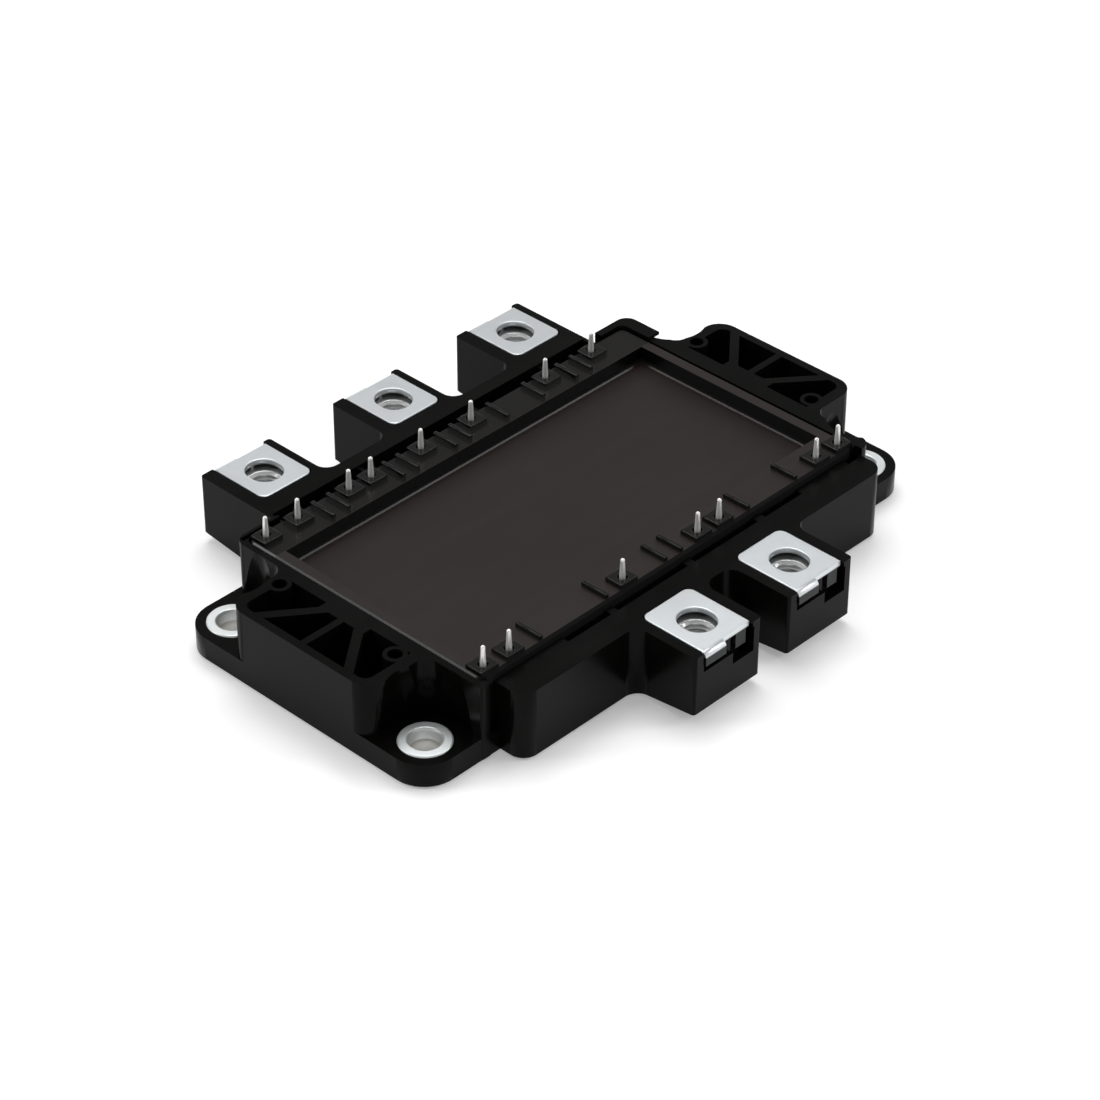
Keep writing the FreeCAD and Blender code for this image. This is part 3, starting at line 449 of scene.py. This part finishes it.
def moulded_plastic(name, colour, streak, roughness, spread, grain_scale, bump, specular, regions=None):
    """Plastic or ceramic; regions gives other colours by height and across the module."""
    return grouped_material(name, MOULDED_GRAIN, {
        "Colour": (*colour, 1.0), "Streak Colour": (*streak, 1.0), "Grain Scale": grain_scale,
        "Roughness": roughness, "Roughness Spread": spread, **(regions or {}),
    }, bump, PLASTIC_BUMP_DEPTH, {"Specular IOR Level": specular})


# The lid's pads, ribs and far strip are darker and glossier.
# The walls of its recess and the upper part of the chamfer at their foot carry painted shade, which narrows
# the bright line there, and its near rim is matt.
LID_REGIONS = {"Second Colour": (0.0075, 0.0068, 0.0062, 1.0), "Second Roughness": 0.2, "Level": 16.0 * MM,
               "Row": 21.0 * MM, "Wall Shade Colour": (0.0016, 0.0015, 0.0014, 1.0), "Wall Foot": 12.46 * MM,
               "Wall Top": 16.04 * MM, "Deck": 15.3 * MM, "Matt Below": 12.88 * MM, "Rim": -27.59 * MM}


def plated_metal(name, colour, dull, roughness, spread, stretch, bump, metallic=1.0, low=None):
    """Plated or bare metal, less metallic where the plating is matt; low gives a painted shade colour below a
    level.
    """
    return grouped_material(name, PLATED_METAL, {
        "Colour": (*colour, 1.0), "Dull Colour": (*dull, 1.0), "Roughness": roughness,
        "Roughness Spread": spread, "Line Stretch": stretch, **(low or {}),
    }, bump, METAL_BUMP_DEPTH, {"Metallic": metallic})


# Painted shade on the bent ends of the terminals below their bend, on the lugs under them and on the lower
# edges of the plates
TAB_SHADE = {"Low Shade Colour": (0.028, 0.030, 0.030, 1.0), "Low Level": 12.9 * MM}


FINISHES = {
    "housing_plastic": moulded_plastic("black_case_plastic", (0.0022, 0.0022, 0.0020),
                                       (0.0034, 0.0034, 0.0030), 0.22, 0.08, 7000.0, 0.2, 0.07),
    "lid_plastic": moulded_plastic("grey_lid_plastic", (0.0160, 0.0112, 0.0098), (0.0185, 0.0135, 0.0120),
                                   0.31, 0.02, 6000.0, 0.25, 0.22, LID_REGIONS),
    "plated_copper": plated_metal("nickel_base_plating", (0.62, 0.61, 0.58), (0.52, 0.51, 0.48),
                                  0.38, 0.2, (5000.0, 90.0, 5000.0), 0.2),
    "plated_terminal": plated_metal("terminal_plating", (0.71, 0.74, 0.755), (0.64, 0.67, 0.685),
                                    0.36, 0.12, (4000.0, 150.0, 4000.0), 0.12, 0.9, TAB_SHADE),
    "steel_bushing": plated_metal("ring_plating", (0.76, 0.79, 0.79), (0.66, 0.69, 0.69),
                                  0.42, 0.10, (900.0, 900.0, 6000.0), 0.08, 0.8),
    "steel_nut": plated_metal("nut_steel", (0.86, 0.87, 0.87), (0.72, 0.73, 0.73),
                              0.24, 0.12, (700.0, 700.0, 6000.0), 0.08, 0.8),
    "plated_pin": plated_metal("pin_plating", (0.92, 0.91, 0.89), (0.80, 0.79, 0.77),
                               0.22, 0.10, (2500.0, 2500.0, 900.0), 0.10, 0.45),
    "white_ceramic": moulded_plastic("fired_ceramic", (0.80, 0.79, 0.75), (0.74, 0.73, 0.69),
                                     0.62, 0.1, 12000.0, 0.3, 0.5),
    "copper_track": plated_metal("bare_copper", (0.72, 0.38, 0.26), (0.60, 0.30, 0.20),
                                 0.35, 0.2, (4000.0, 200.0, 4000.0), 0.15),
    "silicon": plated_metal("silicon_chip", (0.20, 0.21, 0.25), (0.16, 0.17, 0.20),
                            0.22, 0.08, (3000.0, 3000.0, 3000.0), 0.05),
    "aluminium_ribbon": plated_metal("aluminium_ribbon", (0.80, 0.81, 0.82), (0.70, 0.71, 0.72),
                                     0.32, 0.15, (200.0, 5000.0, 5000.0), 0.15),
}


def clear_gel():
    material = bpy.data.materials.new("clear_gel")
    material.use_nodes = True
    shader = material.node_tree.nodes["Principled BSDF"]
    shader.inputs["Base Color"].default_value = (0.93, 0.93, 0.90, 1.0)
    shader.inputs["Roughness"].default_value = 0.08
    shader.inputs["IOR"].default_value = 1.41
    shader.inputs["Transmission Weight"].default_value = 0.95
    return material


FINISHES["clear_gel"] = clear_gel()


# Finish on the solids

FLAT_ANGLE = math.radians(0.6)
SHARP_ANGLE = math.radians(35.0)

# Width of the rounding, and how near points are joined first
EDGE_ROUNDING = {
    "housing": (0.14 * MM, 0.002 * MM),
    "lid": (0.14 * MM, 0.002 * MM),
    "terminal": (0.15 * MM, 0.09 * MM),
    "baseplate": (0.15 * MM, 0.002 * MM),
}


def soften_edges(node, width, reach):
    """Joins the loose triangles, clears flat joins and rounds every sharp edge a little."""
    weld = node.modifiers.new("join", "WELD")
    weld.merge_threshold = reach
    flats = node.modifiers.new("flats", "DECIMATE")
    flats.decimate_type = "DISSOLVE"
    flats.angle_limit = FLAT_ANGLE
    rounding = node.modifiers.new("rounding", "BEVEL")
    rounding.width = width
    rounding.segments = 2
    rounding.limit_method = "ANGLE"
    rounding.angle_limit = SHARP_ANGLE
    rounding.use_clamp_overlap = True


def dress_solids():
    slots = {part["node"]: part["material_slot"] for part in frame["record"]["subparts"]}
    for name, node in nodes.items():
        finish = FINISHES[slots[name]]
        node.data.materials.clear()
        node.data.materials.append(finish)
        for start, (width, reach) in EDGE_ROUNDING.items():
            if name.startswith(start):
                soften_edges(node, width, reach)


# Pieces made here

TOUCH = 0.000001
OFF_CENTRE = 0.01 * MM
LEVEL_NORMAL = 0.99999
SMOOTH_ANGLE = math.radians(34.0)


def finished_piece(name, shape, finish, node=None):
    """Object at the origin from a shape, riding on the module and standing for its node if it has one."""
    bmesh.ops.remove_doubles(shape, verts=shape.verts, dist=TOUCH)
    bmesh.ops.recalc_face_normals(shape, faces=shape.faces)
    for face in shape.faces:
        face.smooth = True
    for edge in shape.edges:
        level = [abs(face.normal.z) > LEVEL_NORMAL for face in edge.link_faces]
        if len(level) == 2 and (level[0] != level[1] or edge.calc_face_angle(0.0) > SMOOTH_ANGLE):
            edge.smooth = False
    mesh = bpy.data.meshes.new(name)
    shape.to_mesh(mesh)
    shape.free()
    mesh.materials.append(FINISHES[finish])
    piece = bpy.data.objects.new(name, mesh)
    bpy.context.collection.objects.link(piece)
    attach(piece, "root")
    if node:
        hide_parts(node)


def turned(profile, centre, steps, closed):
    """Full turn of a profile of (radius, level) points in metres about an upright axis."""
    shape = bmesh.new()
    points = [shape.verts.new((centre.x + radius, centre.y, level)) for radius, level in profile]
    pairs = list(zip(points, points[1:]))
    if closed:
        pairs.append((points[-1], points[0]))
    edges = [shape.edges.new(pair) for pair in pairs]
    bmesh.ops.spin(shape, geom=points + edges, cent=centre, axis=(0.0, 0.0, 1.0), angle=math.tau,
                   steps=steps, use_merge=True)
    return shape


def node_centre(node):
    """Upright axis of a node's box, with its lowest and highest level."""
    low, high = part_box(node)
    return Vector(((low[0] + high[0]) / 2, (low[1] + high[1]) / 2, 0.0)), low[2], high[2]


RING_OUTER = 4.665 * MM
RING_BORE = 2.75 * MM
RING_STEPS = 96


def mounting_ring(node):
    """Turned ring with a flat face, a rounded rim and a rounded lead-in at the bore."""
    centre, foot, top = node_centre(node)
    profile = [
        (RING_BORE, foot), (RING_OUTER, foot),
        (RING_OUTER, top - 0.30 * MM), (RING_OUTER - 0.04 * MM, top - 0.15 * MM),
        (RING_OUTER - 0.14 * MM, top - 0.04 * MM), (RING_OUTER - 0.28 * MM, top),
        (RING_BORE + 0.42 * MM, top), (RING_BORE + 0.26 * MM, top - 0.06 * MM),
        (RING_BORE + 0.10 * MM, top - 0.20 * MM), (RING_BORE + 0.02 * MM, top - 0.42 * MM),
        (RING_BORE, top - 0.60 * MM),
    ]
    shape = turned(profile, centre, RING_STEPS, True)
    finished_piece(node + "_turned", shape, "steel_bushing", node)


# Full height of the ribs and pin pads on the lid, over the low ones of the solid

LID_TOP = 15.3 * MM
PAD_TOP = 16.2 * MM
COVER = 0.03 * MM
RIB_ROUNDING = 0.16 * MM
PAD_ROUNDING = 0.14 * MM

# Places of the ribs along the module in millimetres, on the far and the near side
LID_RIBS = {
    1: (-32.2, -28.6, -15.3, -11.9, -2.4, 1.2, 10.6, 19.8, 28.5, 32.3),
    -1: (-32.3, -16.5, -1.9, 2.0, 19.2, 31.7),
}
RIB_WIDTH = 0.7 * MM
RIB_START = 22.0 * MM
RIB_END = 27.5 * MM
PAD_REACH = 2.0 * MM
PAD_EDGE = (46.5 * MM, 27.6 * MM)
PIN_HOLE = 0.92 * MM
HOLE_STEPS = 24


def round_top_edges(shape, level, width):
    """Rounds the outer edges of the faces at a level."""
    rims = [edge for edge in shape.edges if all(abs(vert.co.z - level) < TOUCH for vert in edge.verts)
            and any(abs(face.normal.z) < 0.5 for face in edge.link_faces)]
    bmesh.ops.bevel(shape, geom=rims, offset=width, segments=3, profile=0.5, affect="EDGES", material=-1)


def lid_ribs():
    shape = bmesh.new()
    for side, row in LID_RIBS.items():
        for place in row:
            middle = Vector((place * MM, side * (RIB_START + RIB_END) / 2, (LID_TOP + PAD_TOP) / 2))
            bar = bmesh.ops.create_cube(shape, size=1.0)["verts"]
            size = (RIB_WIDTH + 2 * COVER, RIB_END - RIB_START + 2 * COVER, PAD_TOP - LID_TOP)
            bmesh.ops.scale(shape, vec=size, verts=bar)
            bmesh.ops.translate(shape, vec=middle, verts=bar)
    shape.normal_update()
    round_top_edges(shape, PAD_TOP, RIB_ROUNDING)
    finished_piece("lid_ribs", shape, "lid_plastic")


def holed_plate(shape, centre, low, high, radius, steps):
    """Flat face between a round hole and four straight sides; gives the points of the hole and of the rim."""
    circle = bmesh.ops.create_circle(shape, segments=steps, radius=radius,
                                     matrix=Matrix.Translation(centre))["verts"]
    hole = [edge for edge in shape.edges if edge.verts[0] in circle and edge.verts[1] in circle]
    rim = [part for part in bmesh.ops.extrude_edge_only(shape, edges=hole)["geom"]
           if isinstance(part, bmesh.types.BMVert)]
    for vert in rim:
        arm = vert.co - centre
        reaches = [(high[axis] if arm[axis] > 0 else low[axis]) - centre[axis] for axis in (0, 1)]
        scale = min(reach / arm[axis] for axis, reach in enumerate(reaches) if abs(arm[axis]) > OFF_CENTRE)
        vert.co = centre + arm * scale
    for x in (low[0], high[0]):
        for y in (low[1], high[1]):
            corner = Vector((x, y, centre.z))
            min(rim, key=lambda vert: (vert.co - corner).length).co = corner
    return circle, rim


def raise_faces(shape, height):
    raised = bmesh.ops.extrude_face_region(shape, geom=list(shape.faces))["geom"]
    tops = [part for part in raised if isinstance(part, bmesh.types.BMVert)]
    bmesh.ops.translate(shape, vec=(0.0, 0.0, height), verts=tops)
    shape.normal_update()


def pin_pads():
    shape = bmesh.new()
    for name in nodes:
        if name.startswith("pin"):
            side = 1.0 if "far" in name else -1.0
            box_low, box_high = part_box(name)
            outer = box_high[1] if side > 0 else box_low[1]
            centre = Vector(((box_low[0] + box_high[0]) / 2, outer - side * PIN_RADIUS, LID_TOP))
            ends = sorted((centre.y - side * PAD_REACH, side * PAD_EDGE[1]))
            low = (max(centre.x - PAD_REACH, -PAD_EDGE[0]) - COVER, ends[0] - COVER)
            high = (min(centre.x + PAD_REACH, PAD_EDGE[0]) + COVER, ends[1] + COVER)
            holed_plate(shape, centre, low, high, PIN_HOLE, HOLE_STEPS)
    raise_faces(shape, PAD_TOP - LID_TOP)
    round_top_edges(shape, PAD_TOP, PAD_ROUNDING)
    finished_piece("pin_pads", shape, "lid_plastic")


# Faces of the terminals' plates with a rounded rim: start, hole and end across the module

PLATE_PLACES = {1: (36.6 * MM, 42.85 * MM, 49.0 * MM), -1: (33.8 * MM, 41.05 * MM, 47.4 * MM)}
PLATE_HALF = 5.85 * MM
PLATE_CORNER = 1.5 * MM
PLATE_HOLE = 3.22 * MM
PLATE_SLOT = 0.35 * MM
PLATE_TOP = 13.82 * MM
FACE_DEPTH = 0.5 * MM
FACE_ROUNDING = 0.24 * MM
FACE_STEPS = 72


def terminal_faces():
    shape = bmesh.new()
    for name in nodes:
        if name.startswith("nut"):
            side = 1 if "far" in name else -1
            start, hole, end = PLATE_PLACES[side]
            middle = node_centre(name)[0].x
            centre = Vector((middle, side * hole, PLATE_TOP - FACE_DEPTH))
            ends = sorted((side * start - side * COVER, side * end + side * COVER))
            low = (middle - PLATE_HALF - COVER, ends[0])
            high = (middle + PLATE_HALF + COVER, ends[1])
            circle, rim = holed_plate(shape, centre, low, high, PLATE_HOLE, FACE_STEPS)
            for vert in circle:
                arm = vert.co.y - centre.y
                if abs(arm) > OFF_CENTRE:
                    vert.co.y += math.copysign(PLATE_SLOT, arm)
            turn_y = side * (start + PLATE_CORNER)
            for vert in rim:
                turn_x = middle + math.copysign(PLATE_HALF - PLATE_CORNER, vert.co.x - middle)
                arm = Vector((vert.co.x - turn_x, vert.co.y - turn_y, 0.0))
                if abs(vert.co.x - middle) > PLATE_HALF - PLATE_CORNER and side * arm.y < 0.0:
                    spot = arm.normalized() * (PLATE_CORNER + COVER)
                    vert.co.x, vert.co.y = turn_x + spot.x, turn_y + spot.y
    raise_faces(shape, FACE_DEPTH)
    round_top_edges(shape, PLATE_TOP, FACE_ROUNDING)
    finished_piece("terminal_faces", shape, "plated_terminal")


PIN_RADIUS = 0.55 * MM
PIN_TIP_RADIUS = 0.40 * MM
PIN_DOME = 0.4 * MM
PIN_DOME_ANGLES = (0.0, 0.35, 0.7, 1.0, 1.25, 1.45)
PIN_STEPS = 24
AXIS_RADIUS = 0.00001 * MM


def contact_pin(node):
    """Round pin that narrows evenly above the lid to a domed tip."""
    low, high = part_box(node)
    side = 1.0 if "far" in node else -1.0
    outer = high[1] if side > 0 else low[1]
    centre = Vector(((low[0] + high[0]) / 2, outer - side * PIN_RADIUS, 0.0))
    foot, top = low[2], high[2]
    dome = [(PIN_TIP_RADIUS * math.cos(angle), top - PIN_DOME + PIN_DOME * math.sin(angle))
            for angle in PIN_DOME_ANGLES]
    profile = [(AXIS_RADIUS, foot), (PIN_RADIUS, foot), (PIN_RADIUS, PAD_TOP), *dome, (AXIS_RADIUS, top)]
    shape = turned(profile, centre, PIN_STEPS, False)
    finished_piece(node + "_round", shape, "plated_pin", node)


NUT_CREST = 2.5 * MM
NUT_ROOT = 2.98 * MM
NUT_HALF_FLATS = 5.0 * MM
THREAD_PITCH = 1.0 * MM
NUT_STEPS = 72
NUT_BEVEL_SLOPE = 0.55
SIXTH = math.radians(60.0)

# One turn of the thread: radius, and how far below the start of the turn
THREAD_TURN = ((NUT_ROOT, 0.18 * MM), (NUT_ROOT, 0.28 * MM), (NUT_CREST, 0.62 * MM), (NUT_CREST, 0.74 * MM))


def threaded_nut(node):
    """Hexagon nut whose bore shows the rounds of its thread, with bevelled corners."""
    centre, foot, top = node_centre(node)
    corner = NUT_HALF_FLATS / math.cos(SIXTH / 2)
    profile = [(corner, top), (NUT_ROOT + 0.45 * MM, top)]
    for turn in range(int((top - foot) / THREAD_PITCH)):
        level = top - turn * THREAD_PITCH
        profile += [(radius, level - drop) for radius, drop in THREAD_TURN]
    profile += [(NUT_ROOT + 0.35 * MM, foot), (corner, foot)]
    shape = turned(profile, centre, NUT_STEPS, True)
    for vert in shape.verts:
        arm = vert.co - centre
        reach = math.hypot(arm.x, arm.y)
        if reach > corner - OFF_CENTRE:
            flat = NUT_HALF_FLATS / math.cos((math.atan2(arm.y, arm.x) + SIXTH / 2) % SIXTH - SIXTH / 2)
            drop = max(0.0, flat - NUT_HALF_FLATS) * NUT_BEVEL_SLOPE
            level = top - drop if arm.z > (foot + top) / 2 else foot + drop
            vert.co = (centre.x + arm.x * flat / reach, centre.y + arm.y * flat / reach, level)
    finished_piece(node + "_threaded", shape, "steel_nut", node)


def make_pieces():
    lid_ribs()
    pin_pads()
    terminal_faces()
    for name in nodes:
        if name.startswith("bushing"):
            mounting_ring(name)
        elif name.startswith("pin"):
            contact_pin(name)
        elif name.startswith("nut"):
            threaded_nut(name)


place_camera()
lay_floor()
light_studio()
dress_solids()
make_pieces()

bpy.context.scene.view_settings.view_transform = "Standard"
